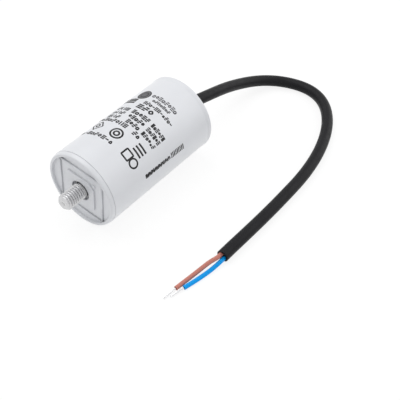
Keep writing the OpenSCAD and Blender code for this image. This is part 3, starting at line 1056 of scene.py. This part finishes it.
class CapacitorDressInside(bpy.types.Operator):
    """Finish the pieces that the case holds"""

    bl_idname = "capacitor.dress_inside"
    bl_label = "Sealed pieces"

    def execute(self, context):
        cable = context.scene.capacitor_cable
        film = wound_film("metallised_film", (0.75, 0.76, 0.78))
        core = moulded_plastic("core_plastic", (0.90, 0.88, 0.80))
        tape = grainy("wrap_tape", (0.85, 0.78, 0.50), 0.2, grain=200, depth=0.03 * MM)
        zinc = grainy("sprayed_zinc", (0.45, 0.47, 0.48), 0.6, grain=900, depth=0.1 * MM, metallic=0.8)
        solder = plated_metal("solder", (0.65, 0.66, 0.68), 0.3)
        blue = grainy("blue_lead_plastic", cable.blue, 0.4, grain=700, depth=0.01 * MM)
        brown = grainy("brown_lead_plastic", cable.brown, 0.4, grain=700, depth=0.01 * MM)
        tin = plated_metal("lead_tin", cable.tin, 0.25)
        resin = grainy("resin", (0.80, 0.72, 0.55), 0.35, grain=150, depth=0.05 * MM)
        finishes = {
            "film_winding": film, "winding_core": core, "winding_wrap": tape,
            "front_end_spray": zinc, "rear_end_spray": zinc, "front_solder": solder, "rear_solder": solder,
            "blue_lead": blue, "brown_lead": brown, "blue_lead_end": tin, "brown_lead_end": tin,
            "potting_resin": resin}
        for node, material in finishes.items():
            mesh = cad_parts[node].data
            mesh.materials.clear()
            mesh.materials.append(material)
        return {"FINISHED"}


# --- Camera and stage ---


class CapacitorAddCamera(bpy.types.Operator):
    """Set up the camera"""

    bl_idname = "capacitor.add_camera"
    bl_label = "Camera"

    def execute(self, context):
        look = context.scene.capacitor_stage
        data = bpy.data.cameras.new("camera")
        data.lens = look.lens
        data.sensor_width = 36
        camera = add_object("camera", data)
        camera.location = look.camera_place
        camera.rotation_euler = (math.pi / 2 - look.camera_down, 0, -look.camera_turn)
        context.scene.camera = camera
        return {"FINISHED"}


def seen_rays(tree):
    """1 for rays from the camera, from gloss and from glass, and 0 for the light that falls on things."""
    path = add_node(tree, "LightPath")
    seen = path["Is Camera Ray"]
    for ray in ("Is Glossy Ray", "Is Transmission Ray"):
        seen = add_node(tree, "Math", wires={0: seen, 1: path[ray]}, operation="MAXIMUM")["Value"]
    return seen


def add_floor(look):
    """A square floor that is partly plain white to the rays that see it, and keeps a shadow."""
    finish = Finish("floor_white", look.floor_tint, 0.9, {"Specular IOR Level": 0})
    glow = finish.node("Emission", {"Strength": look.floor_glow})["Emission"]
    share = finish.node("Math", {1: look.floor_white}, {0: seen_rays(finish.tree)}, operation="MULTIPLY")
    mix = finish.node("MixShader", wires={"Fac": share["Value"], 1: finish.shader.outputs["BSDF"], 2: glow})
    surface = finish.tree.nodes["Material Output"].inputs["Surface"]
    finish.tree.links.new(mix["Shader"], surface)
    half = look.floor_side / 2
    corners = [(-half, -half, 0), (half, -half, 0), (half, half, 0), (-half, half, 0)]
    mesh = bpy.data.meshes.new("floor")
    mesh.from_pydata(corners, [], [(0, 1, 2, 3)])
    mesh.materials.append(finish.material)
    floor = add_object("floor", mesh)


def add_sky(look):
    """White light from all round, and plain white to the rays that see it."""
    world = bpy.data.worlds.new("studio")
    world.use_nodes = True
    bpy.context.scene.world = world
    tree = world.node_tree
    strength = add_node(tree, "MapRange", {"To Min": look.sky, "To Max": 1}, {"Value": seen_rays(tree)})
    background = tree.nodes["Background"]
    background.inputs["Color"].default_value = (1, 1, 1, 1)
    tree.links.new(strength["Result"], background.inputs["Strength"])


def add_lamp(name, power, side, place, target):
    """A square lamp that faces a point."""
    data = bpy.data.lights.new(name, "AREA")
    data.energy, data.shape, data.size = power, "SQUARE", side
    lamp = add_object(name, data)
    lamp.location = place
    aim = np.array(target) - np.array(place)
    across = math.hypot(aim[0], aim[1])
    lamp.rotation_euler = (math.atan2(across, -aim[2]), 0, math.atan2(aim[1], aim[0]) - math.pi / 2)


class CapacitorAddStage(bpy.types.Operator):
    """Lay the floor and set the lamps"""

    bl_idname = "capacitor.add_stage"
    bl_label = "Stage"

    def execute(self, context):
        look = context.scene.capacitor_stage
        add_floor(look)
        add_sky(look)
        middle = (0, 0, AXIS_Z)
        add_lamp("key_lamp", look.key, look.lamp_side, look.key_place, middle)
        add_lamp("fill_lamp", look.fill, look.lamp_side, look.fill_place, middle)
        context.scene.view_settings.view_transform = "Standard"
        return {"FINISHED"}


GROUPS = {
    "capacitor_case": CapacitorCase,
    "capacitor_stud": CapacitorStud,
    "capacitor_print": CapacitorPrint,
    "capacitor_lid": CapacitorLid,
    "capacitor_cable": CapacitorCable,
    "capacitor_stage": CapacitorStage,
}
OPERATORS = (
    CapacitorAddCamera,
    CapacitorAddCable,
    CapacitorAddCase,
    CapacitorAddPrint,
    CapacitorAddStud,
    CapacitorAddLid,
    CapacitorDressInside,
    CapacitorAddStage,
)


class CapacitorPanel(bpy.types.Panel):
    """Lists the builder's steps and their sizes"""

    bl_idname = "VIEW3D_PT_capacitor"
    bl_label = "Motor run capacitor"
    bl_space_type = "VIEW_3D"
    bl_region_type = "UI"
    bl_category = "Capacitor"

    def draw(self, context):
        for operator in OPERATORS:
            self.layout.operator(operator.bl_idname)
        for name, group in GROUPS.items():
            box = self.layout.box()
            box.label(text=group.__doc__)
            for key in group.__annotations__:
                box.prop(getattr(context.scene, name), key)


def register():
    """Adds the groups, operators and panel to Blender."""
    for name, group in GROUPS.items():
        bpy.utils.register_class(group)
        setattr(bpy.types.Scene, name, bpy.props.PointerProperty(type=group))
    for operator in OPERATORS:
        bpy.utils.register_class(operator)
    bpy.utils.register_class(CapacitorPanel)


def unregister():
    """Takes them away again."""
    bpy.utils.unregister_class(CapacitorPanel)
    for operator in reversed(OPERATORS):
        bpy.utils.unregister_class(operator)
    for name, group in reversed(GROUPS.items()):
        delattr(bpy.types.Scene, name)
        bpy.utils.unregister_class(group)


def main():
    """Builds everything in order."""
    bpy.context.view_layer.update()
    register()
    for operator in OPERATORS:
        group, name = operator.bl_idname.split(".")
        getattr(getattr(bpy.ops, group), name)()


if __name__ == "__main__":
    main()
